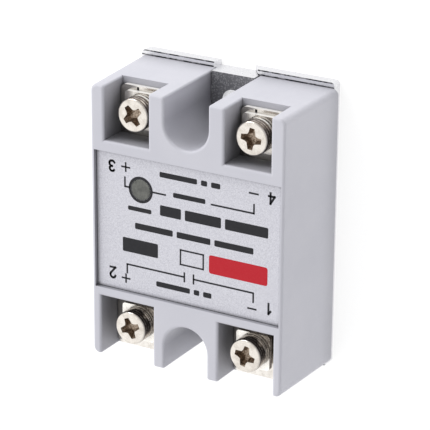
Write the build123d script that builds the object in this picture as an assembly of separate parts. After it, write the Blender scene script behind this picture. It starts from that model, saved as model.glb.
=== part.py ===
from build123d import *
import math
import os

# Panel-mount solid state relay, a flat "hockey puck" block on a metal base plate.
# Millimetres. Origin: centre of the base plate's underside. +X across the block, +Y towards the
# output terminals, +Z up through the front face.

# ---- base plate and seal
OVERALL_LENGTH = 60.8
PLATE_X = (-21.5, 22.4)
PLATE_THICKNESS = 2.6
PLATE_CORNER = 0.8
PAD_TOP = 4.9
MOUNT_PITCH = 47.6
MOUNT_HOLE_R = 2.25
NOTCH_TOP_X = (-4.5, 5.6)
NOTCH_BOTTOM_X = (-2.6, 5.1)
PLATE_EDGE = 0.15
NOTCH_REACH = 4.0
SEAL_THICKNESS = 0.15
SEAL_WIDTH = 0.9
SEAL_INSET = (0.1, 0.25)

# ---- housing
HOUSING_BOTTOM = PLATE_THICKNESS + SEAL_THICKNESS
TOP = 23.4
BASE_HALF_W = 22.5
FRONT_HALF_W = 21.73
BASE_HALF_L = 29.33
FRONT_HALF_L = 29.0
CORNER_R = 1.3
END_EDGE_R = 0.45
FRONT_EDGE_R = 0.6
CHANNEL_R = 4.95
PAD_GAP = 0.1
CAVITY_HALF_W = 20.1
ROOF_UNDERSIDE = 20.3
END_CAVITY_TOP = 9.0
WALL = 1.6
BEYOND = 5.0

# ---- label and its recess
LABEL_Y = (-15.3, 13.95)
LABEL_HALF_W = 20.95
LABEL_GAP = 0.12
RECESS_FLOOR = 22.3
LABEL_THICKNESS = 0.2
WINDOW_X = 10.75
WINDOW_Y = -8.4
WINDOW_R = 2.15
LENS_FLANGE = 0.8
LENS_FLANGE_T = 0.6
LENS_EDGE_R = 0.12
LED_BASE = (1.9, 1.0)
LED_R = 1.5
LED_SHOULDER = 3.6

# ---- terminals: recess floor, strip thickness, screw places
LEDGE = 16.0
STRIP = 1.0
TERMINAL_X = 13.3
INPUT_Y = -23.1
OUTPUT_Y = 22.1
INPUT_RECESS = {"x": (8.5, 18.7), "y": 17.65}
OUTPUT_RECESS = {"x": (7.5, 19.85), "y": 16.0}

# ---- M4 terminal screws
THREAD_PITCH = 0.7
SHANK_R = 1.95
SHANK_LENGTH = 8.0
HEAD_R = 3.5
HEAD_HEIGHT = 2.5
HEAD_ROUND = 0.45
CROSS_LENGTH = 4.6
CROSS_WIDTH = 1.1
CROSS_DEPTH = 1.8
SPRING_WASHER_R = (2.05, 3.4)
SPRING_WASHER_T = 0.9
SPRING_WASHER_SPLIT = 0.5
SPLIT_ANGLE = 35
CLAMP_SIDE = 7.6
CLAMP_T = 1.0
CLAMP_HOLE_R = 2.05
CLAMP_CORNER = 0.7
STRIP_HOLE_R = 2.35
STRIP_END = {"input": 27.8, "output": 28.6}
STRIP_CORNER = 1.2
STRIP_SIDE_GAP = 0.12
STRIP_WALL_GAP = 0.06
NECK_WIDTH = {"input": 6.0, "output": 8.0}
INPUT_LEG_Y = (-15.2, -14.2)
BAR_MARGIN = 0.2
SLIT_OFFSET = 1.3
SLIT_W = 0.5
SLIT_REACH = 2.3
SLIT_TIP = 0.2
NUT_SIDE = 7.0
NUT_HEIGHT = 3.2
NUT_BORE_R = 2.0
NUT_GAP = 0.05
NUT_CHAMFER = 0.3
SHANK_CHAMFER = 0.4
SCREW_WELL_R = 2.4
SCREW_WELL_FLOOR = 10.0
OUTPUT_TURNS_OUT = 2

# ---- circuit
BOARD_BOTTOM = 12.5
BOARD_T = 1.6
BOARD_TOP = BOARD_BOTTOM + BOARD_T
BOARD_HALF_W = 18.6
BOARD_Y = (-15.8, 9.0)
BOARD_CORNER = 1.0
POTTING_TOP = 15.2
CERAMIC_X = (-17.2, 17.2)
CERAMIC_Y = (-12.0, 9.5)
CERAMIC_T = 0.6
POWER_X = 8.7
POWER_SIZE = (15.6, 20.0, 4.7)
POWER_Y = (-11.0, 9.0)
LEAD_PITCH = 5.45
LEAD_W = 1.2
LEAD_T = 0.6
LEAD_RISE = 2.2
LEAD_BEND = 0.7
POWER_CHAMFER = 0.5
GATE_LEAD_TOP = 1.5
GATE_WIRE_R = 0.25
GATE_WIRE_Y = 0.4
DRAIN_BAR_Y = (9.8, 11.2)
SOURCE_BAR_Y = (12.5, 13.9)
BAR_Z = (8.6, 9.6)
DRAIN_BAR_X = (-10.0, 17.9)
SOURCE_BAR_X = (-17.9, 15.5)

# ---- small parts on the board: centre, body size, leads
OPTO_CENTRE = (-4.0, -6.0)
OPTO_HALF = (4.6, 3.2)
OPTO_Z = (0.4, 3.8)
OPTO_CHAMFER = 0.4
OPTO_PINS_X = (-2.54, 0, 2.54)
OPTO_PIN_Y = (3.0, 3.8)
OPTO_PIN_HALF_W = 0.6
OPTO_PIN_TOP = 2.0
AXIAL_STAND_OFF = 0.3
AXIAL_ROUND = 0.3
DRIVE_CENTRE = (9.5, -1.5)
DRIVE_R = 2.4
DRIVE_Z = (0.8, 5.4)
DRIVE_FLAT = 1.3
DRIVE_LEADS_X = (-1.27, 0, 1.27)
DRIVE_LEAD_HALF = 0.25
CAPACITOR_CENTRE = (15.0, -1.5)
CAPACITOR_R = 2.5
CAPACITOR_HEIGHT = 5.4
CAPACITOR_ROUND = 0.4

# Axial parts: centre, body length, body radius, lead radius, lead reach.
AXIAL_PARTS = {
    "input_resistor": (-13.0, -11.0, 6.3, 1.2, 0.3, 5.0),
    "gate_resistor": (3.5, 5.5, 6.3, 1.2, 0.3, 5.0),
    "reverse_diode": (4.5, -12.0, 4.2, 1.3, 0.3, 4.0),
    "suppressor_diode": (-10.5, 3.0, 8.5, 2.4, 0.5, 6.5),
}

# Terminal number: sign along X, screw's Y, and how far its screw is backed out, in millimetres.
TERMINALS = {
    "1": (-1, OUTPUT_Y, OUTPUT_TURNS_OUT * THREAD_PITCH),
    "2": (1, OUTPUT_Y, OUTPUT_TURNS_OUT * THREAD_PITCH),
    "3": (1, INPUT_Y, 0.0),
    "4": (-1, INPUT_Y, 0.0),
}
CROSS_ANGLE = {"1": 77.0, "2": 23.0, "3": 38.0, "4": 84.0}


def block(x, y, z):
    """Box between pairs of limits."""
    size = (x[1] - x[0], y[1] - y[0], z[1] - z[0])
    middle = ((x[0] + x[1]) / 2, (y[0] + y[1]) / 2, (z[0] + z[1]) / 2)
    return Pos(*middle) * Box(*size)


def rod(x, y, z, radius):
    """Upright cylinder between two heights."""
    return Pos(x, y, (z[0] + z[1]) / 2) * Cylinder(radius, z[1] - z[0])


def span(a, b):
    """Two numbers in rising order."""
    return (min(a, b), max(a, b))


def upright_edges(shape):
    """Edges that run mostly along Z."""
    return shape.edges().filter_by(lambda e: abs(e.tangent_at(0.5).Z) > 0.95)


def channel(end, radius, z, reach=BASE_HALF_L + BEYOND):
    """Round-ended slot from a mounting hole out through one end (end = -1 or +1)."""
    y = end * MOUNT_PITCH / 2
    slot = rod(0, y, z, radius)
    return slot + block((-radius, radius), span(y, end * reach), z)


def recess_of(number):
    """X limits and inner Y of a terminal's recess."""
    sign, y, _ = TERMINALS[number]
    recess = INPUT_RECESS if y < 0 else OUTPUT_RECESS
    x = span(sign * recess["x"][0], sign * recess["x"][1])
    return x, math.copysign(recess["y"], y)


def base_plate():
    """Die-cast plate with a raised pad and a mounting hole in each channel."""
    half = OVERALL_LENGTH / 2
    plate = block(PLATE_X, (-half, half), (0, PLATE_THICKNESS))
    plate = fillet(upright_edges(plate), PLATE_CORNER)
    for end in (-1, 1):
        pad = channel(end, CHANNEL_R - PAD_GAP, (0, PAD_TOP), BASE_HALF_L)
        outline = Polygon(
            (NOTCH_TOP_X[0], PLATE_THICKNESS),
            (NOTCH_BOTTOM_X[0], 0),
            (NOTCH_BOTTOM_X[1], 0),
            (NOTCH_TOP_X[1], PLATE_THICKNESS),
            align=None,
        )
        notch = extrude(Plane.XZ * outline, NOTCH_REACH / 2, both=True)
        plate -= Pos(0, end * (BASE_HALF_L + NOTCH_REACH / 2), 0) * notch
        plate += pad
    for end in (-1, 1):
        plate -= rod(0, end * MOUNT_PITCH / 2, (-1, PAD_TOP + 1), MOUNT_HOLE_R)
    rim = plate.faces().sort_by(Axis.Z)[0].edges()
    return chamfer(rim, PLATE_EDGE)


def seal():
    """Adhesive bead between the plate and the housing's rim."""
    outer_x = abs(PLATE_X[0]) - SEAL_INSET[0]
    outer_y = BASE_HALF_L - SEAL_INSET[1]
    z = (PLATE_THICKNESS, HOUSING_BOTTOM)
    bead = block((-outer_x, outer_x), (-outer_y, outer_y), z)
    bead = fillet(upright_edges(bead), CORNER_R)
    inner_x = outer_x - SEAL_WIDTH
    inner_y = outer_y - SEAL_WIDTH
    bead -= block((-inner_x, inner_x), (-inner_y, inner_y), z)
    for end in (-1, 1):
        bead += channel(end, CHANNEL_R + SEAL_WIDTH, z, outer_y)
    for end in (-1, 1):
        bead -= channel(end, CHANNEL_R, z)
    return bead


def envelope():
    """Outer block with draft on all four sides."""
    across = Polygon(
        (-BASE_HALF_W, HOUSING_BOTTOM), (BASE_HALF_W, HOUSING_BOTTOM),
        (FRONT_HALF_W, TOP), (-FRONT_HALF_W, TOP), align=None,
    )
    along = Polygon(
        (-BASE_HALF_L, HOUSING_BOTTOM), (BASE_HALF_L, HOUSING_BOTTOM),
        (FRONT_HALF_L, TOP), (-FRONT_HALF_L, TOP), align=None,
    )
    body = extrude(Plane.XZ * across, OVERALL_LENGTH, both=True)
    body &= extrude(Plane.YZ * along, OVERALL_LENGTH, both=True)
    return fillet(upright_edges(body), CORNER_R)


def housing():
    """Moulded cover: terminal recesses, mounting channels, label recess and inner cavity."""
    body = envelope()
    beyond = BASE_HALF_L + BEYOND
    for number in TERMINALS:
        x, inner = recess_of(number)
        body -= block(x, span(inner, math.copysign(beyond, inner)), (LEDGE, TOP + 1))
    for end in (-1, 1):
        body -= channel(end, CHANNEL_R, (0, TOP + 1))
    end_edges = upright_edges(body).filter_by(lambda e: abs(e.center().Y) > FRONT_HALF_L - 0.01)
    end_edges = end_edges.filter_by(lambda e: abs(e.center().X) < LABEL_HALF_W)
    body = fillet(end_edges, END_EDGE_R)
    body = fillet(body.faces().sort_by(Axis.Z)[-1].edges(), FRONT_EDGE_R)

    reach = LABEL_HALF_W + LABEL_GAP
    label_y = (LABEL_Y[0] - LABEL_GAP, LABEL_Y[1] + LABEL_GAP)
    body -= block((-reach, reach), label_y, (RECESS_FLOOR, TOP + 1))

    inner_y = (-INPUT_RECESS["y"] + WALL, OUTPUT_RECESS["y"] - WALL)
    body -= block((-CAVITY_HALF_W, CAVITY_HALF_W), inner_y, (HOUSING_BOTTOM - 1, ROOF_UNDERSIDE))
    end_x = (CHANNEL_R + WALL, CAVITY_HALF_W)
    end_y = BASE_HALF_L - WALL
    for sign in (-1, 1):
        x = span(sign * end_x[0], sign * end_x[1])
        body -= block(x, (-end_y, end_y), (HOUSING_BOTTOM - 1, END_CAVITY_TOP))

    for number, (sign, y, _) in TERMINALS.items():
        x = sign * TERMINAL_X
        half = NUT_SIDE / 2 + NUT_GAP
        body -= block((x - half, x + half), (y - half, y + half), (LEDGE - NUT_HEIGHT, LEDGE + 1))
        body -= rod(x, y, (SCREW_WELL_FLOOR, LEDGE), SCREW_WELL_R)
        body -= strip_neck(number, NUT_GAP)
    body -= rod(WINDOW_X, WINDOW_Y, (ROOF_UNDERSIDE - 1, TOP), WINDOW_R + NUT_GAP)
    return body


def strip_neck(number, gap=0.0):
    """The part of a terminal strip that passes through the recess's inner wall."""
    x, inner = recess_of(number)
    middle = (x[0] + x[1]) / 2
    half = NECK_WIDTH[side_of(number)] / 2 + gap
    wall_y = span(inner, inner - math.copysign(WALL, inner))
    return block((middle - half, middle + half), wall_y, (LEDGE, LEDGE + STRIP + gap))


def side_of(number):
    """Which side of the relay a terminal belongs to."""
    return "input" if TERMINALS[number][1] < 0 else "output"


def terminal_strip(number):
    """Nickel-plated strip: screw tab, neck through the wall, and a leg down to the circuit."""
    sign, y, _ = TERMINALS[number]
    x, inner = recess_of(number)
    outward = math.copysign(1, y)
    is_input = side_of(number) == "input"
    end = outward * STRIP_END[side_of(number)]
    start = inner + outward * STRIP_WALL_GAP
    tab_x = (x[0] + STRIP_SIDE_GAP, x[1] - STRIP_SIDE_GAP)
    tab = block(tab_x, span(start, end), (LEDGE, LEDGE + STRIP))
    tip = upright_edges(tab).filter_by(lambda e: abs(e.center().Y - end) < 0.01)
    tab = fillet(tip, STRIP_CORNER)
    tab -= rod(sign * TERMINAL_X, y, (LEDGE - 1, LEDGE + STRIP + 1), STRIP_HOLE_R)
    if is_input:
        slit_x = sign * TERMINAL_X + SLIT_OFFSET
        slit_y = span(end - outward * SLIT_TIP, end - outward * SLIT_REACH)
        tab -= block((slit_x - SLIT_W / 2, slit_x + SLIT_W / 2), slit_y, (LEDGE, LEDGE + 2))
    middle = (x[0] + x[1]) / 2
    half = NECK_WIDTH[side_of(number)] / 2
    if is_input:
        leg_y = INPUT_LEG_Y
        foot = BOARD_TOP
    else:
        bar_y = DRAIN_BAR_Y if sign > 0 else SOURCE_BAR_Y
        leg_y = (bar_y[0] + BAR_MARGIN, bar_y[0] + BAR_MARGIN + STRIP)
        foot = BAR_Z[1]
    neck_y = (min(leg_y[0], start), max(leg_y[1], start))
    neck = block((middle - half, middle + half), neck_y, (LEDGE, LEDGE + STRIP))
    leg = block((middle - half, middle + half), leg_y, (foot, LEDGE + STRIP))
    return tab + neck + leg


def terminal_nut(number):
    """Square nut held in a pocket under the strip."""
    sign, y, _ = TERMINALS[number]
    half = NUT_SIDE / 2
    x = sign * TERMINAL_X
    nut = block((x - half, x + half), (y - half, y + half), (LEDGE - NUT_HEIGHT, LEDGE))
    nut = chamfer(upright_edges(nut), NUT_CHAMFER)
    return nut - rod(x, y, (LEDGE - NUT_HEIGHT - 1, LEDGE + 1), NUT_BORE_R)


def clamp_washer(number):
    """Square washer that presses on the wire."""
    sign, y, raised = TERMINALS[number]
    half = CLAMP_SIDE / 2
    z0 = LEDGE + STRIP + raised
    x = sign * TERMINAL_X
    plate = block((x - half, x + half), (y - half, y + half), (z0, z0 + CLAMP_T))
    plate = fillet(upright_edges(plate), CLAMP_CORNER)
    return plate - rod(x, y, (z0 - 1, z0 + CLAMP_T + 1), CLAMP_HOLE_R)


def spring_washer(number):
    """Split lock washer under the screw's head."""
    sign, y, raised = TERMINALS[number]
    z0 = LEDGE + STRIP + CLAMP_T + raised
    z = (z0, z0 + SPRING_WASHER_T)
    x = sign * TERMINAL_X
    ring = rod(x, y, z, SPRING_WASHER_R[1]) - rod(x, y, z, SPRING_WASHER_R[0])
    half = SPRING_WASHER_SPLIT / 2
    split = Rot(0, 0, SPLIT_ANGLE) * block((0, SPRING_WASHER_R[1] + 1), (-half, half), z)
    return ring - Pos(x, y, 0) * split


def terminal_screw(number):
    """Cross-recessed M4 screw."""
    sign, y, raised = TERMINALS[number]
    head_z = LEDGE + STRIP + CLAMP_T + SPRING_WASHER_T + raised
    x = sign * TERMINAL_X
    head = rod(0, 0, (head_z, head_z + HEAD_HEIGHT), HEAD_R)
    head = fillet(head.edges().sort_by(Axis.Z)[-1], HEAD_ROUND)
    top = head_z + HEAD_HEIGHT
    half = CROSS_WIDTH / 2
    arm = (-CROSS_LENGTH, CROSS_LENGTH)
    depth = (top - CROSS_DEPTH, top + 1)
    cross = block(arm, (-half, half), depth) + block((-half, half), arm, depth)
    funnel = Pos(0, 0, top - CROSS_DEPTH / 2) * Cone(CROSS_LENGTH / 5, CROSS_LENGTH / 2, CROSS_DEPTH)
    head -= Rot(0, 0, CROSS_ANGLE[number]) * (cross & funnel)
    shank = rod(0, 0, (head_z - SHANK_LENGTH, head_z), SHANK_R)
    shank = chamfer(shank.edges().sort_by(Axis.Z)[0], SHANK_CHAMFER)
    return Pos(x, y, 0) * (head + shank)


def label():
    """Foil sheet with a hole for the window."""
    z = (RECESS_FLOOR, RECESS_FLOOR + LABEL_THICKNESS)
    sheet = block((-LABEL_HALF_W, LABEL_HALF_W), LABEL_Y, z)
    return sheet - rod(WINDOW_X, WINDOW_Y, (z[0] - 1, z[1] + 1), WINDOW_R + NUT_GAP)


def indicator_lens():
    """Window over the lamp, flush with the label, with a flange under the roof."""
    top = RECESS_FLOOR + LABEL_THICKNESS
    flange = (ROOF_UNDERSIDE - LENS_FLANGE_T, ROOF_UNDERSIDE)
    lens = rod(WINDOW_X, WINDOW_Y, (ROOF_UNDERSIDE, top), WINDOW_R)
    lens = fillet(lens.edges().sort_by(Axis.Z)[-1], LENS_EDGE_R)
    return lens + rod(WINDOW_X, WINDOW_Y, flange, WINDOW_R + LENS_FLANGE)


def indicator_led():
    """3 mm lamp standing on the board, under the window."""
    shoulder = BOARD_TOP + LED_SHOULDER
    rim_top = BOARD_TOP + LED_BASE[1]
    led = rod(WINDOW_X, WINDOW_Y, (BOARD_TOP, rim_top), LED_BASE[0])
    led += rod(WINDOW_X, WINDOW_Y, (rim_top, shoulder), LED_R)
    return led + Pos(WINDOW_X, WINDOW_Y, shoulder) * Sphere(LED_R)


def control_board():
    """Circuit board over the power devices."""
    board = block((-BOARD_HALF_W, BOARD_HALF_W), BOARD_Y, (BOARD_BOTTOM, BOARD_TOP))
    return fillet(upright_edges(board), BOARD_CORNER)


def optocoupler():
    """Six-pin photovoltaic coupler."""
    x, y = OPTO_CENTRE
    half_x, half_y = OPTO_HALF
    z = (BOARD_TOP + OPTO_Z[0], BOARD_TOP + OPTO_Z[1])
    body = block((x - half_x, x + half_x), (y - half_y, y + half_y), z)
    body = chamfer(body.edges().filter_by(Axis.Y).sort_by(Axis.Z)[-2:], OPTO_CHAMFER)
    for dx in OPTO_PINS_X:
        pin_x = (x + dx - OPTO_PIN_HALF_W, x + dx + OPTO_PIN_HALF_W)
        for side in (-1, 1):
            pin_y = span(y + side * OPTO_PIN_Y[0], y + side * OPTO_PIN_Y[1])
            body += block(pin_x, pin_y, (BOARD_TOP, BOARD_TOP + OPTO_PIN_TOP))
    return body


def axial_part(name):
    """Body lying along X with a lead at each end bent down to the board."""
    x, y, length, radius, lead_radius, reach = AXIAL_PARTS[name]
    z = BOARD_TOP + radius + AXIAL_STAND_OFF
    body = Pos(x, y, z) * Rot(0, 90, 0) * Cylinder(radius, length)
    body = fillet(body.edges(), radius * AXIAL_ROUND)
    lead_y = (y - lead_radius, y + lead_radius)
    for side in (-1, 1):
        foot = x + side * reach
        run = span(x + side * (length / 2 - lead_radius), foot + side * lead_radius)
        body += block(run, lead_y, (z - lead_radius, z + lead_radius))
        body += block((foot - lead_radius, foot + lead_radius), lead_y, (BOARD_TOP, z))
    return body


def drive_transistor():
    """Small three-leg transistor with a flat on one side."""
    x, y = DRIVE_CENTRE
    z = (BOARD_TOP + DRIVE_Z[0], BOARD_TOP + DRIVE_Z[1])
    body = rod(x, y, z, DRIVE_R)
    body -= block((x - DRIVE_R, x + DRIVE_R), (y + DRIVE_FLAT, y + DRIVE_R), z)
    lead_y = (y - DRIVE_LEAD_HALF, y + DRIVE_LEAD_HALF)
    for dx in DRIVE_LEADS_X:
        lead_x = (x + dx - DRIVE_LEAD_HALF, x + dx + DRIVE_LEAD_HALF)
        body += block(lead_x, lead_y, (BOARD_TOP, z[0]))
    return body


def filter_capacitor():
    """Can capacitor on the board."""
    body = rod(*CAPACITOR_CENTRE, (BOARD_TOP, BOARD_TOP + CAPACITOR_HEIGHT), CAPACITOR_R)
    return fillet(body.edges().sort_by(Axis.Z)[-1], CAPACITOR_ROUND)


def insulator():
    """Ceramic plate between the power devices and the base plate."""
    z = (PLATE_THICKNESS, PLATE_THICKNESS + CERAMIC_T)
    return block(CERAMIC_X, CERAMIC_Y, z)


def power_device(sign):
    """Flat power transistor with its gate, drain and source leads bent upwards."""
    z0 = PLATE_THICKNESS + CERAMIC_T
    x = sign * POWER_X
    half = POWER_SIZE[0] / 2
    body = block((x - half, x + half), POWER_Y, (z0, z0 + POWER_SIZE[2]))
    body = chamfer(body.faces().sort_by(Axis.Z)[-1].edges(), POWER_CHAMFER)
    lead_z = (z0 + LEAD_RISE, z0 + LEAD_RISE + LEAD_T)
    ends = {
        -1: (POWER_Y[1] + LEAD_BEND, BAR_Z[0] - GATE_LEAD_TOP),
        0: (DRAIN_BAR_Y[0] + LEAD_BEND, BAR_Z[0]),
        1: (SOURCE_BAR_Y[0] + LEAD_BEND, BAR_Z[0]),
    }
    for place, (y_end, z_end) in ends.items():
        lead_x = x + place * LEAD_PITCH
        sides = (lead_x - LEAD_W / 2, lead_x + LEAD_W / 2)
        body += block(sides, (POWER_Y[1] - POWER_CHAMFER, y_end), lead_z)
        body += block(sides, (y_end - LEAD_T, y_end), (lead_z[0], z_end))
    return body


def gate_lead(sign):
    """Wire from a power device's gate lead up past the board's edge and onto the board."""
    x = sign * POWER_X - LEAD_PITCH
    y = POWER_Y[1] + GATE_WIRE_Y
    crest = BOARD_TOP + 2 * GATE_WIRE_R
    wire = rod(x, y, (BAR_Z[0] - GATE_LEAD_TOP, crest), GATE_WIRE_R)
    wire_x = (x - GATE_WIRE_R, x + GATE_WIRE_R)
    return wire + block(wire_x, (BOARD_Y[1] - 1.0, y), (BOARD_TOP, crest))


def bus_bar(x, y):
    """Copper bar across the power devices' leads."""
    return block(x, y, BAR_Z)


def potting(parts):
    """Resin that fills the cavity up to just above the board, around everything in it."""
    z = (PLATE_THICKNESS, POTTING_TOP)
    inner_y = (-INPUT_RECESS["y"] + WALL, OUTPUT_RECESS["y"] - WALL)
    resin = block((-CAVITY_HALF_W, CAVITY_HALF_W), inner_y, z)
    end_y = BASE_HALF_L - WALL
    for sign in (-1, 1):
        x = span(sign * (CHANNEL_R + WALL), sign * CAVITY_HALF_W)
        resin += block(x, (-end_y, end_y), (PLATE_THICKNESS, END_CAVITY_TOP))
    for piece in parts:
        resin -= piece
    return resin


def main():
    nodes = {
        "base_plate": base_plate(),
        "base_seal": seal(),
        "housing": housing(),
        "label": label(),
        "indicator_lens": indicator_lens(),
        "indicator_led": indicator_led(),
    }
    for number in TERMINALS:
        nodes["terminal_strip_" + number] = terminal_strip(number)
        nodes["terminal_nut_" + number] = terminal_nut(number)
        nodes["clamp_washer_" + number] = clamp_washer(number)
        nodes["spring_washer_" + number] = spring_washer(number)
        nodes["terminal_screw_" + number] = terminal_screw(number)
    inside = {
        "ceramic_insulator": insulator(),
        "power_transistor_1": power_device(-1),
        "power_transistor_2": power_device(1),
        "drain_bus_bar": bus_bar(DRAIN_BAR_X, DRAIN_BAR_Y),
        "source_bus_bar": bus_bar(SOURCE_BAR_X, SOURCE_BAR_Y),
        "gate_wire_1": gate_lead(-1),
        "gate_wire_2": gate_lead(1),
        "control_board": control_board(),
        "optocoupler": optocoupler(),
        "drive_transistor": drive_transistor(),
        "filter_capacitor": filter_capacitor(),
    }
    inside.update({name: axial_part(name) for name in AXIAL_PARTS})
    nodes.update(inside)
    strips = [nodes["terminal_strip_" + number] for number in TERMINALS]
    nodes["potting_resin"] = potting(list(inside.values()) + strips + [nodes["indicator_led"]])
    for name, shape in nodes.items():
        export_step(shape, "parts/" + name + ".step")


os.makedirs("parts", exist_ok=True)
main()
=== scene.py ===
import math

import bmesh
import bpy
from mathutils import Matrix, Vector


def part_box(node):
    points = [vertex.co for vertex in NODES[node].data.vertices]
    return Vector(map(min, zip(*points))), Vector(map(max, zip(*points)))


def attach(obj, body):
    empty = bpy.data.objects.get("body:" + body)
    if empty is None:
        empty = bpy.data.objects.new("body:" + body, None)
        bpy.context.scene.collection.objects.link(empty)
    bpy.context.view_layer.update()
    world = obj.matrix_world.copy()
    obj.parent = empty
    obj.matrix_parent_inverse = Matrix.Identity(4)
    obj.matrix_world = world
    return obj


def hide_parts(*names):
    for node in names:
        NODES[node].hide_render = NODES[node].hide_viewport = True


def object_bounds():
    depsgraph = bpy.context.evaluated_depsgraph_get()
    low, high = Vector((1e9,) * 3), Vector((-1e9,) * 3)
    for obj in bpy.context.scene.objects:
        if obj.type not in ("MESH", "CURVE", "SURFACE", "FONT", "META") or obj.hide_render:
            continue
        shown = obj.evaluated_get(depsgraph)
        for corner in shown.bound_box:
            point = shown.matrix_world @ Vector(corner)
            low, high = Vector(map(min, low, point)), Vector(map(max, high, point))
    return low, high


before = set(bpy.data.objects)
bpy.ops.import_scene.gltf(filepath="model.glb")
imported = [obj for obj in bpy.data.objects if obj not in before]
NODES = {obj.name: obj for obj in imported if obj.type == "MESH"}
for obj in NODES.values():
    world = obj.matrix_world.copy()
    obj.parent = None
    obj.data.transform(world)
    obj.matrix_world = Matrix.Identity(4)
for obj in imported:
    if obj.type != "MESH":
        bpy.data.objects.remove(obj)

# Looks of a panel-mount solid state relay. Lengths are in millimetres until MM turns them into metres.
MM = 0.001
CAD_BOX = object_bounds()
TERMINALS = ("1", "2", "3", "4")
INPUT_TERMINALS = ("3", "4")
SHARP_ANGLE = 40

# ---- camera, found from the relay's corners in perspective
CAMERA_PLACE = (-212.56, -171.39, 388.63)
CAMERA_FORWARD = (0.45711, 0.36526, -0.81094)
CAMERA_RIGHT = (-0.8697, -0.00731, -0.49353)
LENS = 193.9
SENSOR = 36.0

# ---- screw: helical thread with flat crests and a run-out at its tip, crowned head, tapered cross recess
TURN_STEPS = 96
THREAD_PITCH = 0.7
THREAD_R = 1.95
THREAD_DEPTH = 0.38
THREAD_CREST = 1.25
THREAD_STEPS = 6
RUN_OUT = 0.6
TIP_STEP = 0.25
HEAD_HEIGHT = 2.5
HEAD_ROUND = 0.42
HEAD_ARC_STEPS = 6
HEAD_CROWN = 0.1
CROWN_SHARES = (0.75, 0.5, 0.25)
CROSS_ANGLES = {"1": 77.0, "2": 23.0, "3": 38.0, "4": 84.0}
CROSS_TIP = 2.25
CROSS_HALF_W = 0.66
CROSS_TIP_SHARE = 0.8
CROSS_HEART = 1.02
CROSS_FLARE = 0.3
CROSS_CORNER_SHARE = 0.86
CROSS_DEPTH = 1.5
CROSS_TAPER = 0.62
CUT_OVER = 0.2

# ---- spring washer
WASHER_INNER_R = 2.05
WASHER_SHARP_ANGLE = 35
SPLIT_ANGLE = 35.0
SPLIT_GAP = 9.0
WASHER_RISE = 0.16
WASHER_EDGE = 0.12

# ---- spacing of the rings on turned sides
RING_PITCH = 0.75

# ---- plate: where its ledge starts and ends along Y, the painted dark lines along both (painted shade at the housing's foot, painted reflection along the plate's upper edge), and the pads' rise
HOUSING_END = 29.33
PLATE_END = 30.4
JOINT_SHADE_W = 0.22
EDGE_REFLECTION_W = 0.2
EDGE_REFLECTION_LOW = 2.4
LINE_SOFT = 0.05
PAD_LOW = (2.8, 3.1)

# ---- coloured bands on the small board parts; a diode's are its distance from the middle and its width
BAND_PITCH = 1.3
RESISTOR_BAND_W = 0.5
DIODE_BANDS = {"reverse_diode": (1.3, 0.5), "suppressor_diode": (2.9, 0.9)}

# ---- print on the label: strokes
INK_THICKNESS = 0.015
LINE_W = 0.36
DIGIT_STROKE = 0.44
PLUS_SIZE = 1.7
BAR_ROUND = 0.25
RED_BAR_ROUND = 0.5
ROUND_STEPS = 4
WORD_GAP = 0.9
LAMP_RING_R = (2.78, 2.22)
RING_STEPS = 96

# ---- print on the label: places, as X and Y from the middle of the relay
DIGITS = {"1": (-19.0, -17.8, 9.5, 12.1), "2": (16.6, 18.2, 9.3, 12.0),
          "3": (16.6, 18.2, -13.6, -11.0), "4": (-19.5, -17.8, -13.6, -11.0)}
MINUS_SIGNS = (((-15.5, 11.6), (-13.8, 11.6)), ((-15.6, -12.6), (-13.8, -12.6)))
PLUS_SIGNS = ((14.3, 11.3), (14.2, -12.6))
OUTPUT_BRACKETS = (((-14.9, 10.1), (-14.9, 8.2), (-1.4, 8.2)), ((-1.4, 9.1), (-1.4, 7.3)),
                   ((14.0, 10.0), (14.0, 8.15), (0.7, 8.15)), ((0.7, 9.1), (0.7, 7.3)))
INPUT_BRACKET = ((-5.4, -8.5), (-14.8, -8.5), (-14.8, -10.3))
LAMP_LINE = (5.1, -8.45)
LAMP_LINE_END = -2.8
LAMP_BRACKET = ((14.4, -8.5), (14.4, -10.4))
LAMP_BRACKET_START = 2.7
WORD_ROWS = (
    (-5.5, 7.2, 10.4, 11.5, (1.2, 0.8, 5)),
    (-4.0, 3.3, -9.3, -8.3, (1,)),
    (-7.3, 6.4, -13.1, -12.0, (1.2, 0.8, 5)),
    (-18.0, 6.3, -6.1, -3.9, (4, 3.4, 2)),
    (8.3, 13.7, -4.6, -3.7, (1,)),
    (-14.8, 12.1, -1.2, 0.1, (5, 4.4, 5)),
)
DARK_BAR = (6.8, 15.0, 2.4, 5.4)
OUTLINE_BOX = ((-3.6, 2.5), (1.6, 2.5), (1.6, 5.6), (-3.6, 5.6), (-3.6, 2.5))
OUTLINE_W = 0.34
RED_BAR = (-18.0, -4.9, 2.2, 6.1)

# ---- light tent: brightness, and how it changes along each axis
TENT_LEVEL = 0.66
TENT_SLOPE = (0.46, 0.24, 0.33)
TENT_LEAST = 0.04

# ---- softbox beyond the input end: distance and size in metres, power in watts
SOFTBOX_DIRECTION = (0.5, -0.8, 0.3)
SOFTBOX_DISTANCE = 0.5
SOFTBOX_SIZE = 0.25
SOFTBOX_POWER = 0.95

# ---- floor
FLOOR_Z = -0.02
FLOOR_R = (3000.0, 300.0, 60.0)
FLOOR_STEPS = 64
FLOOR_GLOW = 0.8
FLOOR_PALE = (0.3, 0.3, 0.3)


# ---------------------------------------------------------------- materials

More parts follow.
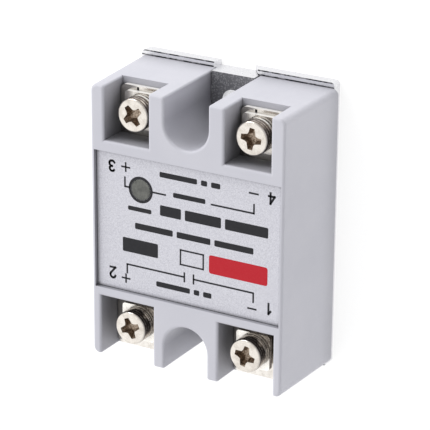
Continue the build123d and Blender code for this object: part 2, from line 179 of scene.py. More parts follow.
class Graph:
    """A Principled material and the few node patterns used here, in the object's own coordinates."""

    def __init__(self, name, **sockets):
        self.material = bpy.data.materials.new(name)
        self.material.use_nodes = True
        self.tree = self.material.node_tree
        self.shader = self.tree.nodes["Principled BSDF"]
        self.place = self.tree.nodes.new("ShaderNodeTexCoord").outputs["Object"]
        for socket, value in sockets.items():
            self.shader.inputs[socket.replace("_", " ")].default_value = value

    def link(self, output, target):
        self.tree.links.new(output, target)

    def stretch(self, scale):
        """The object's coordinates scaled unevenly, for brushed or drawn surfaces."""
        node = self.tree.nodes.new("ShaderNodeMapping")
        node.inputs["Scale"].default_value = scale
        self.link(self.place, node.inputs["Vector"])
        return node.outputs["Vector"]

    def noise(self, size, detail=3.0, roughness=0.55, place=None):
        """Noise with features of about that size in millimetres."""
        node = self.tree.nodes.new("ShaderNodeTexNoise")
        node.inputs["Scale"].default_value = 1 / (size * MM)
        node.inputs["Detail"].default_value = detail
        node.inputs["Roughness"].default_value = roughness
        self.link(place or self.place, node.inputs["Vector"])
        return node.outputs["Fac"]

    def cells(self, size):
        """Distance to the nearest cell centre, for grains and specks."""
        node = self.tree.nodes.new("ShaderNodeTexVoronoi")
        node.inputs["Scale"].default_value = 1 / (size * MM)
        self.link(self.place, node.inputs["Vector"])
        return node.outputs["Distance"]

    def part_of(self, vector, name):
        """One component of a vector output."""
        node = self.tree.nodes.new("ShaderNodeSeparateXYZ")
        self.link(vector, node.inputs["Vector"])
        return node.outputs[name]

    def axis(self, name):
        """One of the object's coordinates, in metres."""
        return self.part_of(self.place, name)

    def facing(self, name):
        """How far the surface faces along an object axis, either way: 0 across it, 1 along it."""
        normal = self.tree.nodes.new("ShaderNodeTexCoord").outputs["Normal"]
        return self.math("ABSOLUTE", self.part_of(normal, name))

    def openness(self, reach, low, high, least):
        """Share of light that gets past what stands within reach in millimetres, from least to 1."""
        node = self.tree.nodes.new("ShaderNodeAmbientOcclusion")
        node.samples = 12
        node.inputs["Distance"].default_value = reach * MM
        return self.remap(node.outputs["AO"], low, high, least, 1.0)

    def band(self, value, start, end, soft):
        """1 between two values in metres, fading to 0 outside them over a soft edge."""
        rise = self.remap(value, start - soft, start, 0, 1)
        fall = self.remap(value, end, end + soft, 1, 0)
        return self.math("MULTIPLY", rise, fall)

    def math(self, operation, a, b=0):
        """Result of a Math node on numbers or outputs."""
        node = self.tree.nodes.new("ShaderNodeMath")
        node.operation = operation
        for socket, value in zip(node.inputs, (a, b)):
            if isinstance(value, (int, float)):
                socket.default_value = value
            else:
                self.link(value, socket)
        return node.outputs["Value"]

    def remap(self, value, low, high, start=0.0, end=1.0):
        """The value's stretch from low to high, turned into start to end and held there outside it."""
        node = self.tree.nodes.new("ShaderNodeMapRange")
        self.link(value, node.inputs["Value"])
        limits = {"From Min": low, "From Max": high, "To Min": start, "To Max": end}
        for socket, number in limits.items():
            node.inputs[socket].default_value = number
        return node.outputs["Result"]

    def mix(self, factor, first, second):
        """Colour between first and second, each a colour or an output."""
        node = self.tree.nodes.new("ShaderNodeMix")
        node.data_type = "RGBA"
        self.link(factor, node.inputs["Factor"])
        for name, value in (("A", first), ("B", second)):
            socket = [s for s in node.inputs if s.name == name and s.type == "RGBA"][0]
            if isinstance(value, tuple):
                socket.default_value = (*value, 1)
            else:
                self.link(value, socket)
        return [s for s in node.outputs if s.type == "RGBA"][0]

    def colour(self, output):
        self.link(output, self.shader.inputs["Base Color"])

    def roughness(self, output):
        self.link(output, self.shader.inputs["Roughness"])

    def bump(self, height, depth):
        """Relief from a height of 0 to 1 that stands for depth in millimetres."""
        node = self.tree.nodes.new("ShaderNodeBump")
        node.inputs["Distance"].default_value = depth * MM
        node.inputs["Strength"].default_value = 1.0
        self.link(height, node.inputs["Height"])
        previous = self.shader.inputs["Normal"]
        if previous.links:
            self.link(previous.links[0].from_socket, node.inputs["Normal"])
        self.link(node.outputs["Normal"], previous)


def plastic_housing():
    """Light grey moulded plastic: spark-eroded grain, slight tone drift, faint rub marks, and painted shade
    in hollows and fine grooves.
    """
    g = Graph("housing_plastic", IOR=1.5)
    drift = g.remap(g.noise(14, 2), 0.35, 0.65)
    tone = g.mix(drift, (0.585, 0.585, 0.645), (0.615, 0.613, 0.672))
    rubs = g.noise(0.35, 4, 0.6, g.stretch((1, 1, 0.12)))
    rubbed = g.mix(g.remap(rubs, 0.62, 0.8), tone, (0.66, 0.66, 0.71))
    # painted shade: ambient occlusion over 11 mm and over 0.6 mm darkens the colour towards a near-black
    # shade
    painted_recess_shade = g.openness(reach=11.0, low=0.0, high=0.9, least=0.17)
    painted_crease_shade = g.openness(reach=0.6, low=0.2, high=0.75, least=0.45)
    shade = (0.035, 0.034, 0.036)
    g.colour(g.mix(g.math("MULTIPLY", painted_recess_shade, painted_crease_shade), shade, rubbed))
    g.roughness(g.remap(g.noise(1.6, 4), 0.3, 0.7, 0.4, 0.52))
    g.bump(g.noise(0.22, 3), 0.012)
    g.bump(g.noise(3.5, 2), 0.02)
    return g.material


def label_foil():
    """Silver-grey foil sheet with a fine printed speckle, and painted shade along its borders where the
    walls stand close.
    """
    g = Graph("label_foil", Metallic=0.12, IOR=1.45)
    speck = g.remap(g.noise(0.17, 2, 0.8), 0.38, 0.6)
    tone = g.mix(speck, (0.53, 0.528, 0.585), (0.73, 0.728, 0.785))
    # painted shade: the foil darkens towards near black next to the recess walls and the gap round it
    edges = g.openness(reach=1.0, low=0.45, high=0.9, least=0.3)
    g.colour(g.mix(edges, (0.05, 0.05, 0.055), tone))
    g.roughness(g.remap(g.noise(0.5, 3), 0.3, 0.7, 0.38, 0.5))
    g.bump(g.noise(0.18, 2), 0.006)
    return g.material


def ink(name, colour, worn):
    """Screen-printed ink, worn a little paler in small spots."""
    g = Graph(name, Specular_IOR_Level=0.25)
    g.colour(g.mix(g.remap(g.noise(0.3, 4, 0.7), 0.55, 0.8), colour, worn))
    g.roughness(g.remap(g.noise(0.6, 3), 0.3, 0.7, 0.42, 0.6))
    g.bump(g.noise(0.12, 2), 0.004)
    return g.material


def plate_metal():
    """Die-cast plate: satin faces, darker cast skin on the pads, a painted shade line at the housing's foot
    and a painted dark reflection along the ledge's upper edge.
    """
    g = Graph("plate_metal", Metallic=1.0)
    grain = g.remap(g.noise(0.22, 3, 0.7), 0.35, 0.65)
    bright = g.mix(grain, (0.72, 0.72, 0.74), (0.86, 0.86, 0.88))
    cast = g.mix(g.remap(g.cells(0.35), 0.2, 0.55), (0.52, 0.52, 0.54), (0.27, 0.27, 0.285))
    flat = g.remap(g.facing("Z"), 0.3, 0.6)
    above = g.remap(g.axis("Z"), PAD_LOW[0] * MM, PAD_LOW[1] * MM)
    raised = g.math("MULTIPLY", above, flat)
    along = g.math("ABSOLUTE", g.axis("Y"))
    # painted shade: dark line on the plate along the housing's foot
    painted_joint_shade = g.band(along, HOUSING_END * MM, (HOUSING_END + JOINT_SHADE_W) * MM, LINE_SOFT * MM)
    painted_joint_shade = g.math("MULTIPLY", painted_joint_shade, flat)
    # painted reflection: dark line along the upper edge of the plate's ends
    painted_edge_reflection = g.band(along, (PLATE_END - EDGE_REFLECTION_W) * MM, (PLATE_END + 1) * MM, LINE_SOFT * MM)
    painted_edge_reflection = g.math("MULTIPLY", painted_edge_reflection, g.remap(g.axis("Z"), EDGE_REFLECTION_LOW * MM, (EDGE_REFLECTION_LOW + 0.1) * MM))
    # uneven strength of the painted dark lines
    worn = g.remap(g.noise(1.6, 3, 0.6), 0.4, 0.52, 0.55, 1.0)
    lines = g.math("MULTIPLY", g.math("MAXIMUM", painted_joint_shade, painted_edge_reflection), worn)
    faces = g.mix(lines, bright, (0.02, 0.02, 0.026))
    g.colour(g.mix(raised, faces, cast))
    rough = g.remap(g.noise(0.8, 4), 0.3, 0.7, 0.24, 0.42)
    g.roughness(g.math("ADD", rough, g.math("MULTIPLY", raised, 0.2)))
    g.bump(g.noise(0.25, 3), 0.012)
    return g.material


def seal_rubber():
    """Dark adhesive bead with a slightly lumpy surface."""
    g = Graph("seal")
    g.colour(g.mix(g.noise(0.8, 3), (0.025, 0.025, 0.028), (0.06, 0.06, 0.065)))
    g.roughness(g.remap(g.noise(0.5, 2), 0.3, 0.7, 0.45, 0.7))
    g.bump(g.noise(0.6, 3), 0.05)
    return g.material


def nickel(name, light, dark, roughness, turned=False, painted_highlit_ends=False):
    """Nickel plating with drawing lines, small dents, slight tarnish, and painted shade near black where
    other parts stand close.

    Turned pieces have their sides painted dark as a painted reflection, with lighter turning rings. Highlit
    ends are painted pale as a painted highlight and made dull where they face along Y."""
    g = Graph(name, Metallic=1.0)
    tone = g.mix(g.remap(g.noise(1.4, 4, 0.65), 0.42, 0.72), light, dark)
    # painted reflection: faces across Z are painted dark brown for the dark surroundings they mirror, with
    # lighter rings for the turning marks
    if turned:
        wave = g.math("SINE", g.math("MULTIPLY", g.axis("Z"), 2 * math.pi / (RING_PITCH * MM)))
        patches = g.remap(g.noise(1.1, 3), 0.35, 0.6)
        rings = g.math("MULTIPLY", g.remap(wave, 0.1, 0.9), patches)
        sides = g.mix(rings, (0.2, 0.165, 0.14), (0.85, 0.78, 0.7))
        tone = g.mix(g.remap(g.facing("Z"), 0.35, 0.6), sides, tone)
    # painted shade: the plating darkens towards near black where other parts stand close
    painted_crevice_shade = g.openness(reach=2.5, low=0.15, high=0.8, least=0.35)
    tone = g.mix(painted_crevice_shade, (0.04, 0.034, 0.03), tone)
    # painted highlight: faces along Y are painted pale and made dull, in place of the bright edge they
    # catch
    if painted_highlit_ends:
        ends = g.remap(g.facing("Y"), 0.6, 0.8)
        tone = g.mix(ends, tone, (0.97, 0.95, 0.92))
        g.link(g.remap(ends, 0, 1, 1.0, 0.1), g.shader.inputs["Metallic"])
    g.colour(tone)
    lines = g.noise(0.12, 3, 0.6, g.stretch((1, 0.06, 1)))
    g.roughness(g.remap(lines, 0.3, 0.7, *roughness))
    g.bump(g.noise(0.5, 3), 0.01)
    g.bump(lines, 0.002)
    return g.material


def recess_metal():
    """Bottom of the screw's cross: dull plating, darker and browner than the head, mottled by noise."""
    g = Graph("screw_recess", Metallic=1.0)
    cross_mottle = g.remap(g.noise(0.35, 4), 0.35, 0.65)
    g.colour(g.mix(cross_mottle, (0.15, 0.108, 0.076), (0.55, 0.45, 0.36)))
    g.roughness(g.remap(g.noise(0.3, 3), 0.3, 0.7, 0.3, 0.55))
    g.bump(g.noise(0.2, 3), 0.02)
    return g.material


def lens_plastic():
    """Smoky window, mottled by the lamp's cavity behind it."""
    g = Graph("lens", IOR=1.49, Coat_Weight=0.35, Coat_Roughness=0.08)
    mottle = g.remap(g.noise(1.1, 4, 0.6), 0.35, 0.68)
    g.colour(g.mix(mottle, (0.06, 0.062, 0.055), (0.14, 0.143, 0.127)))
    g.roughness(g.remap(g.noise(0.7, 3), 0.3, 0.7, 0.2, 0.34))
    g.bump(g.noise(0.9, 2), 0.015)
    return g.material


def grained(name, first, second, size, roughness, depth=0.01, metallic=0.0):
    """Two tones of one material mixed by noise of the given size, with a finer relief."""
    g = Graph(name, Metallic=metallic)
    g.colour(g.mix(g.remap(g.noise(size, 4), 0.35, 0.65), first, second))
    g.roughness(g.remap(g.noise(size * 0.6, 3), 0.3, 0.7, *roughness))
    g.bump(g.noise(size * 0.4, 3), depth)
    return g.material


def circuit_board():
    """Green solder mask over a faint pattern of tracks."""
    g = Graph("board", IOR=1.5)
    track = g.tree.nodes.new("ShaderNodeTexBrick")
    track.inputs["Scale"].default_value = 1 / (5 * MM)
    track.inputs["Mortar Size"].default_value = 0.06
    track.inputs["Color1"].default_value = (0.02, 0.11, 0.045, 1)
    track.inputs["Color2"].default_value = (0.025, 0.13, 0.05, 1)
    track.inputs["Mortar"].default_value = (0.05, 0.24, 0.1, 1)
    g.link(g.place, track.inputs["Vector"])
    g.colour(track.outputs["Color"])
    g.roughness(g.remap(g.noise(0.7, 3), 0.3, 0.7, 0.25, 0.42))
    g.bump(g.noise(0.3, 2), 0.008)
    return g.material


def banded(name, body, bands, centre, width):
    """Lacquered body with coloured rings spread along X about centre."""
    g = Graph(name, IOR=1.5)
    tone = g.mix(g.remap(g.noise(1.0, 3), 0.35, 0.65), body, tuple(0.85 * c for c in body))
    along = g.axis("X")
    for i, band in enumerate(bands):
        middle = (centre + (i - (len(bands) - 1) / 2) * BAND_PITCH) * MM
        distance = g.math("ABSOLUTE", g.math("SUBTRACT", along, middle))
        inside = g.math("LESS_THAN", distance, width * MM / 2)
        tone = g.mix(inside, tone, band)
    g.colour(tone)
    g.roughness(g.remap(g.noise(0.6, 3), 0.3, 0.7, 0.25, 0.4))
    g.bump(g.noise(0.5, 3), 0.01)
    return g.material


def middle_of(node):
    """Middle of a node's box, in millimetres."""
    low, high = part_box(node)
    return (low + high) / 2 / MM


def assign(node, material):
    """Give a CAD node one material."""
    obj = NODES[node]
    if not obj.material_slots:
        obj.data.materials.append(material)
    for slot in obj.material_slots:
        slot.material = material


# ---------------------------------------------------------------- mesh helpers

def add_object(name, bm, material, sharp_angle=None):
    """Object from a bmesh in metres, with doubles merged and faces turned outwards."""
    bmesh.ops.remove_doubles(bm, verts=bm.verts, dist=1e-7)
    bmesh.ops.recalc_face_normals(bm, faces=bm.faces)
    mesh = bpy.data.meshes.new(name)
    bm.to_mesh(mesh)
    bm.free()
    mesh.materials.append(material)
    obj = bpy.data.objects.new(name, mesh)
    bpy.context.scene.collection.objects.link(obj)
    if sharp_angle is not None:
        mesh.shade_smooth()
        mesh.set_sharp_from_angle(angle=math.radians(sharp_angle))
    return obj


def prism(bm, outline, z0, z1, shrink=1.0):
    """Closed prism over an outline in millimetres; shrink scales its lower end about the origin."""
    low = [bm.verts.new((x * shrink * MM, y * shrink * MM, z0 * MM)) for x, y in outline]
    high = [bm.verts.new((x * MM, y * MM, z1 * MM)) for x, y in outline]
    bm.faces.new(list(reversed(low)))
    bm.faces.new(high)
    bridge(bm, low, high)


def ring_of(bm, radius, z, steps, centre=(0.0, 0.0)):
    """Vertices round a circle whose radius, height and centre are in millimetres."""
    x, y = centre
    return [
        bm.verts.new(((x + radius * math.cos(2 * math.pi * i / steps)) * MM,
                      (y + radius * math.sin(2 * math.pi * i / steps)) * MM, z * MM))
        for i in range(steps)
    ]


def bridge(bm, first, second):
    """Band of quads between two closed loops with the same number of vertices."""
    for i in range(len(first)):
        j = (i + 1) % len(first)
        bm.faces.new((first[i], first[j], second[j], second[i]))


def evaluated_mesh(obj):
    """Mesh of an object with its modifiers applied."""
    graph = bpy.context.evaluated_depsgraph_get()
    return bpy.data.meshes.new_from_object(obj.evaluated_get(graph), depsgraph=graph)


# ---------------------------------------------------------------- screws and washers

def thread_radius(turn, height):
    """Radius of the V thread at an angle (in turns) and a height, both counted along the helix."""
    phase = (height / THREAD_PITCH - turn) % 1.0
    crest = 1.0 - abs(2.0 * phase - 1.0)
    return THREAD_R - THREAD_DEPTH + THREAD_DEPTH * min(1.0, crest * THREAD_CREST)


def head_profile(head_r):
    """Radius and height of each ring from the head's bearing face over its rounded edge to its crown."""
    shoulder = HEAD_HEIGHT - HEAD_ROUND - HEAD_CROWN
    flat_r = head_r - HEAD_ROUND
    profile = [(head_r, 0.0), (head_r, shoulder)]
    for i in range(1, HEAD_ARC_STEPS + 1):
        a = math.pi / 2 * i / HEAD_ARC_STEPS
        profile.append((flat_r + HEAD_ROUND * math.cos(a), shoulder + HEAD_ROUND * math.sin(a)))
    for share in CROWN_SHARES:
        profile.append((flat_r * share, HEAD_HEIGHT - HEAD_CROWN * share ** 2))
    return profile


def thread_rings(bm, length):
    """Rings of the thread from the bearing face down, drawn in over the run-out at the tip."""
    tip_r = THREAD_R - THREAD_DEPTH - TIP_STEP
    rows = int(length / THREAD_PITCH * THREAD_STEPS)
    rings = []
    for row in range(rows + 1):
        z = -length * row / rows
        limit = tip_r + (THREAD_R - tip_r) * min(1.0, (length + z) / RUN_OUT)
        ring = []
        for i in range(TURN_STEPS):
            a = 2 * math.pi * i / TURN_STEPS
            r = min(limit, thread_radius(i / TURN_STEPS, z))
            ring.append(bm.verts.new((r * math.cos(a) * MM, r * math.sin(a) * MM, z * MM)))
        rings.append(ring)
    return rings


def screw_blank(head_r, length, material):
    """Screw about the Z axis with its bearing face at height 0: crowned head and a helical thread."""
    bm = bmesh.new()
    head = [ring_of(bm, r, z, TURN_STEPS) for r, z in head_profile(head_r)]
    thread = thread_rings(bm, length)
    for rings in (head, thread):
        for first, second in zip(rings, rings[1:]):
            bridge(bm, first, second)
        bm.faces.new(rings[-1])
    bridge(bm, head[0], thread[0])
    return add_object("screw_blank", bm, material, SHARP_ANGLE)


def cross_outline():
    """Cross with slightly tapered arms and a wide heart, anticlockwise."""
    points = []
    corner = CROSS_HEART * CROSS_CORNER_SHARE
    arm = [(CROSS_TIP, -CROSS_HALF_W * CROSS_TIP_SHARE), (CROSS_TIP, CROSS_HALF_W * CROSS_TIP_SHARE),
           (CROSS_HEART + CROSS_FLARE, CROSS_HALF_W), (corner, corner)]
    for quarter in range(4):
        a = math.pi / 2 * quarter
        for x, y in arm:
            points.append((x * math.cos(a) - y * math.sin(a), x * math.sin(a) + y * math.cos(a)))
    return points


def cross_cutter(material):
    """Tapered cross that cuts the recess, standing through the head's top."""
    bm = bmesh.new()
    grown = 1.0 + CUT_OVER / CROSS_DEPTH * (1 - CROSS_TAPER)
    outline = [(x * grown, y * grown) for x, y in cross_outline()]
    prism(bm, outline, HEAD_HEIGHT - CROSS_DEPTH, HEAD_HEIGHT + CUT_OVER, shrink=CROSS_TAPER)
    return add_object("cross_cutter", bm, material)


def detailed_screw(number, plating, cross_tone):
    """Screw with a helical thread and a tapered cross recess, in the CAD screw's place."""
    node = "terminal_screw_" + number
    low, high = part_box(node)
    centre = (low + high) / 2
    head_r = (high.x - low.x) / 2 / MM
    length = (high.z - low.z) / MM - HEAD_HEIGHT
    blank = screw_blank(head_r, length, plating)
    cutter = cross_cutter(cross_tone)
    cutter.rotation_euler.z = math.radians(CROSS_ANGLES[number])
    cut = blank.modifiers.new("cut", "BOOLEAN")
    cut.operation = "DIFFERENCE"
    cut.solver = "EXACT"
    cut.material_mode = "TRANSFER"
    cut.object = cutter
    bpy.context.view_layer.update()
    mesh = evaluated_mesh(blank)
    mesh.transform(Matrix.Translation((centre.x, centre.y, high.z - HEAD_HEIGHT * MM)))
    bpy.data.objects.remove(blank)
    bpy.data.objects.remove(cutter)
    screw = bpy.data.objects.new("detailed_screw_" + number, mesh)
    bpy.context.scene.collection.objects.link(screw)
    mesh.set_sharp_from_angle(angle=math.radians(SHARP_ANGLE))
    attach(screw, "screw_" + number)
    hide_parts(node)


def washer_section(outer, thick):
    """Radius and height of each corner of the washer's section, with its edges broken."""
    inner, e = WASHER_INNER_R, WASHER_EDGE
    return [(inner + e, 0), (outer - e, 0), (outer, e), (outer, thick - e),
            (outer - e, thick), (inner + e, thick), (inner, thick - e), (inner, e)]


def split_washer(number, plating):
    """Helical lock washer with its ends sprung apart."""
    node = "spring_washer_" + number
    low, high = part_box(node)
    centre = (low + high) / 2
    outer = (high.x - low.x) / 2 / MM
    section = washer_section(outer, (high.z - low.z) / MM - WASHER_RISE)
    bm = bmesh.new()
    start, turn = SPLIT_ANGLE + SPLIT_GAP / 2, 360 - SPLIT_GAP
    rings = []
    for i in range(TURN_STEPS + 1):
        a = math.radians(start + turn * i / TURN_STEPS)
        rise = WASHER_RISE * i / TURN_STEPS
        rings.append([bm.verts.new((r * math.cos(a) * MM, r * math.sin(a) * MM, (z + rise) * MM))
                      for r, z in section])
    for first, second in zip(rings, rings[1:]):
        bridge(bm, first, second)
    bm.faces.new(rings[0])
    bm.faces.new(rings[-1])
    washer = add_object("split_washer_" + number, bm, plating, WASHER_SHARP_ANGLE)
    washer.data.transform(Matrix.Translation((centre.x, centre.y, low.z)))
    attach(washer, "clamp_" + number)
    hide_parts(node)


# ---------------------------------------------------------------- print on the label

class Print:
    """Ink laid on the label: everything drawn becomes one thin piece."""

    def __init__(self):
        self.bm = bmesh.new()
        self.z0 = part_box("label")[1].z / MM
        self.z1 = self.z0 + INK_THICKNESS

    def area(self, outline):
        """Filled shape."""
        prism(self.bm, outline, self.z0, self.z1)

    def line(self, x0, y0, x1, y1, width=LINE_W):
        """Straight stroke with square ends."""
        along = Vector((x1 - x0, y1 - y0)).normalized() * width / 2
        side = Vector((-along.y, along.x))
        a = Vector((x0, y0)) - along
        b = Vector((x1, y1)) + along
        self.area([a - side, b - side, b + side, a + side])

    def path(self, points, width=LINE_W):
        """Strokes from point to point."""
        for (x0, y0), (x1, y1) in zip(points, points[1:]):
            self.line(x0, y0, x1, y1, width)

    def pill(self, x0, x1, y0, y1, rounding=BAR_ROUND):
        """Bar with rounded corners."""
        r = min(rounding, (y1 - y0) / 2, (x1 - x0) / 2)
        corners = ((x1 - r, y1 - r), (x0 + r, y1 - r), (x0 + r, y0 + r), (x1 - r, y0 + r))
        outline = []
        for quarter, (x, y) in enumerate(corners):
            outline += arc(x, y, r, r, 90 * quarter, 90 * quarter + 90, ROUND_STEPS)
        self.area(outline)

    def annulus(self, x, y, outer, inner):
        """Flat ring."""
        section = ((outer, self.z0), (outer, self.z1), (inner, self.z1), (inner, self.z0))
        rows = [ring_of(self.bm, r, z, RING_STEPS, (x, y)) for r, z in section]
        for first, second in zip(rows, rows[1:] + rows[:1]):
            bridge(self.bm, first, second)

    def words(self, x0, x1, y0, y1, widths):
        """Row of plain bars in place of words, filling x0 to x1 in the given shares."""
        free = x1 - x0 - WORD_GAP * (len(widths) - 1)
        x = x0
        for share in widths:
            width = free * share / sum(widths)
            self.pill(x, x + width, y0, y1)
            x += width + WORD_GAP

    def digit(self, character, x0, x1, y0, y1):
        """Terminal number drawn with strokes inside its box."""
        half = DIGIT_STROKE / 2
        for stroke in digit_strokes(character):
            points = [(x0 + half + u * (x1 - x0 - 2 * half), y0 + half + v * (y1 - y0 - 2 * half))
                      for u, v in stroke]
            self.path(points, DIGIT_STROKE)

    def plus(self, x, y):
        """Plus sign."""
        half = PLUS_SIZE / 2
        self.line(x - half, y, x + half, y)
        self.line(x, y - half, x, y + half)

    def finish(self, name, material):
        """One piece of everything drawn, fixed to the label."""
        piece = add_object(name, self.bm, material)
        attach(piece, "root")


def arc(x, y, rx, ry, start, end, steps=10):
    """Points along part of an ellipse, angles in degrees."""
    turns = [math.radians(start + (end - start) * i / steps) for i in range(steps + 1)]
    return [(x + rx * math.cos(a), y + ry * math.sin(a)) for a in turns]


def digit_strokes(character):
    """Plain strokes of a terminal number in a box one unit wide and high."""
    return {
        "1": [[(0.0, 0.74), (0.6, 1.0), (0.6, 0.0)]],
        "2": [arc(0.5, 0.72, 0.5, 0.28, 165, -30) + [(0.0, 0.0), (1.0, 0.0)]],
        "3": [arc(0.48, 0.76, 0.46, 0.24, 150, -90), arc(0.48, 0.26, 0.52, 0.26, 90, -155)],
        "4": [[(0.72, 0.0), (0.72, 1.0), (0.0, 0.3), (1.0, 0.3)]],
    }[character]


def black_print(material):
    """Terminal numbers, signs, bracket lines, the lamp's ring, and plain bars where words would be."""
    sheet = Print()
    for character, box in DIGITS.items():
        sheet.digit(character, *box)
    for sign in MINUS_SIGNS:
        sheet.path(sign)
    for x, y in PLUS_SIGNS:
        sheet.plus(x, y)
    for bracket in (*OUTPUT_BRACKETS, INPUT_BRACKET):
        sheet.path(bracket)
    lamp = middle_of("indicator_lens")
    x, y = LAMP_LINE
    sheet.line(x, y, lamp.x + LAMP_LINE_END, y)
    sheet.path(((lamp.x + LAMP_BRACKET_START, LAMP_BRACKET[0][1]), *LAMP_BRACKET))
    sheet.annulus(lamp.x, lamp.y, *LAMP_RING_R)
    for row in WORD_ROWS:
        sheet.words(*row)
    sheet.pill(*DARK_BAR)
    sheet.path(OUTLINE_BOX, OUTLINE_W)
    sheet.finish("label_print_black", material)


def red_print(material):
    """Plain red bar."""
    sheet = Print()
    sheet.pill(*RED_BAR, RED_BAR_ROUND)
    sheet.finish("label_print_red", material)


# ---------------------------------------------------------------- studio

def floor():
    """Pale floor that glows a little, so that shadows on it stay faint."""
    bm = bmesh.new()
    rings = [ring_of(bm, r, FLOOR_Z, FLOOR_STEPS) for r in FLOOR_R]
    for outer, inner in zip(rings, rings[1:]):
        bridge(bm, outer, inner)
    bm.faces.new(rings[-1])
    g = Graph("floor_paint")
    g.shader.inputs["Base Color"].default_value = (*FLOOR_PALE, 1)
    g.roughness(g.remap(g.noise(6, 3), 0.3, 0.7, 0.7, 0.85))
    g.bump(g.noise(2, 2), 0.02)
    g.shader.inputs["Emission Color"].default_value = (1, 1, 1, 1)
    g.shader.inputs["Emission Strength"].default_value = FLOOR_GLOW
    obj = add_object("studio_floor", bm, g.material)


def softbox():
    """Square area light that faces the middle of the relay."""
    low, high = CAD_BOX
    middle = (low + high) / 2
    data = bpy.data.lights.new("end_light", "AREA")
    data.shape = "SQUARE"
    data.size = SOFTBOX_SIZE
    data.energy = SOFTBOX_POWER
    obj = bpy.data.objects.new("end_light", data)
    obj.location = middle + Vector(SOFTBOX_DIRECTION).normalized() * SOFTBOX_DISTANCE
    obj.rotation_euler = (obj.location - middle).to_track_quat("Z", "Y").to_euler()
    bpy.context.scene.collection.objects.link(obj)


def surroundings():
    """Light tent: brightness changes evenly with direction, so each face gets its own level."""
    world = bpy.data.worlds.new("studio")
    bpy.context.scene.world = world
    world.use_nodes = True
    tree = world.node_tree
    background = tree.nodes["Background"]
    background.inputs["Color"].default_value = (1, 1, 1, 1)
    direction = tree.nodes.new("ShaderNodeTexCoord").outputs["Generated"]
    slope = tree.nodes.new("ShaderNodeVectorMath")
    slope.operation = "DOT_PRODUCT"
    slope.inputs[1].default_value = TENT_SLOPE
    tree.links.new(direction, slope.inputs[0])
    level = tree.nodes.new("ShaderNodeMath")
    level.operation = "ADD"
    level.inputs[1].default_value = TENT_LEVEL
    tree.links.new(slope.outputs["Value"], level.inputs[0])
    lowest = tree.nodes.new("ShaderNodeMath")
    lowest.operation = "MAXIMUM"
    lowest.inputs[1].default_value = TENT_LEAST
    tree.links.new(level.outputs["Value"], lowest.inputs[0])
    tree.links.new(lowest.outputs["Value"], background.inputs["Strength"])


def camera():
    """Camera at its measured place and direction."""
    forward = Vector(CAMERA_FORWARD).normalized()
    right = Vector(CAMERA_RIGHT)
    right = (right - forward * right.dot(forward)).normalized()
    up = right.cross(forward)
    data = bpy.data.cameras.new("camera")
    data.lens = LENS
    data.sensor_width = SENSOR
    obj = bpy.data.objects.new("camera", data)
    turn = Matrix((right, up, -forward)).transposed().to_4x4()
    obj.matrix_world = Matrix.Translation(Vector(CAMERA_PLACE) * MM) @ turn
    bpy.context.scene.collection.objects.link(obj)
    bpy.context.scene.camera = obj


# ---------------------------------------------------------------- pieces

def dress_outside():
    """Materials of the housing, the label, the plate, its seal and the window."""
    assign("housing", plastic_housing())
    assign("label", label_foil())
    assign("base_plate", plate_metal())
    assign("base_seal", seal_rubber())
    assign("indicator_lens", lens_plastic())


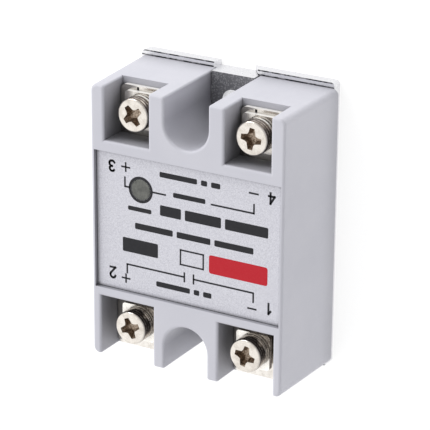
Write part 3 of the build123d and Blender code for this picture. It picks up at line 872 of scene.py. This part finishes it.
def dress_inside():
    """Materials of the pieces under the housing, apart from the banded ones."""
    assign("indicator_led", grained("led", (0.5, 0.03, 0.02), (0.7, 0.06, 0.04), 1.2, (0.15, 0.3)))
    ceramic = grained("ceramic", (0.78, 0.78, 0.75), (0.88, 0.88, 0.86), 0.6, (0.5, 0.7))
    assign("ceramic_insulator", ceramic)
    assign("control_board", circuit_board())
    epoxy = grained("black_epoxy", (0.012, 0.012, 0.013), (0.03, 0.03, 0.032), 0.4, (0.4, 0.6), 0.02)
    for node in ("power_transistor_1", "power_transistor_2", "optocoupler", "drive_transistor"):
        assign(node, epoxy)
    copper = grained("copper", (0.62, 0.3, 0.17), (0.8, 0.44, 0.28), 0.9, (0.22, 0.42), metallic=1.0)
    for node in ("drain_bus_bar", "source_bus_bar", "gate_wire_1", "gate_wire_2"):
        assign(node, copper)
    sleeve = grained("capacitor_sleeve", (0.02, 0.03, 0.1), (0.03, 0.045, 0.14), 1.5, (0.2, 0.35))
    assign("filter_capacitor", sleeve)
    resin = grained("resin", (0.02, 0.02, 0.022), (0.045, 0.045, 0.05), 2.5, (0.15, 0.4), 0.05)
    assign("potting_resin", resin)


def dress_banded_parts():
    """Resistors with four colour bands and diodes with one silver band each."""
    tan, brown, black = (0.52, 0.4, 0.24), (0.12, 0.04, 0.015), (0.01, 0.01, 0.01)
    red, gold = (0.45, 0.02, 0.02), (0.5, 0.35, 0.1)
    codes = {"input_resistor": (brown, black, red, gold), "gate_resistor": (red, red, brown, gold)}
    for node, bands in codes.items():
        assign(node, banded(node + "_body", tan, bands, middle_of(node).x, RESISTOR_BAND_W))
    silver, coal = (0.6, 0.6, 0.6), (0.015, 0.015, 0.016)
    for node, (offset, width) in DIODE_BANDS.items():
        assign(node, banded(node + "_body", coal, (silver,), middle_of(node).x + offset, width))


def dress_terminals():
    """Plating of strips, nuts and clamps, with detailed screws and spring washers in place of the CAD's.
    The strips' plating has painted pale ends; the screws and the output terminals' washers have painted
    dark sides.
    """
    plating = nickel("nickel", (0.8, 0.765, 0.72), (0.62, 0.58, 0.53), (0.12, 0.26), painted_highlit_ends=True)
    bright = nickel("washer_nickel", (0.93, 0.9, 0.85), (0.8, 0.76, 0.71), (0.14, 0.28), turned=True)
    screws = nickel("screw_nickel", (0.75, 0.705, 0.65), (0.58, 0.53, 0.475), (0.16, 0.3), turned=True)
    cross_tone = recess_metal()
    for number in TERMINALS:
        assign("terminal_strip_" + number, plating)
        assign("terminal_nut_" + number, plating)
        # lit and shaded copies: washers at the input terminals take the plain plating, those at the output
        # terminals the paler copy with painted dark sides
        washers = plating if number in INPUT_TERMINALS else bright
        assign("clamp_washer_" + number, washers)
        split_washer(number, washers)
        detailed_screw(number, screws, cross_tone)


# ---------------------------------------------------------------- build

camera()
surroundings()
floor()
softbox()
bpy.context.scene.view_settings.view_transform = "Standard"

dress_outside()
dress_inside()
dress_banded_parts()
dress_terminals()
black_print(ink("ink_black", (0.016, 0.016, 0.02), (0.036, 0.036, 0.04)))
red_print(ink("ink_red", (0.52, 0.01, 0.022), (0.6, 0.035, 0.05)))
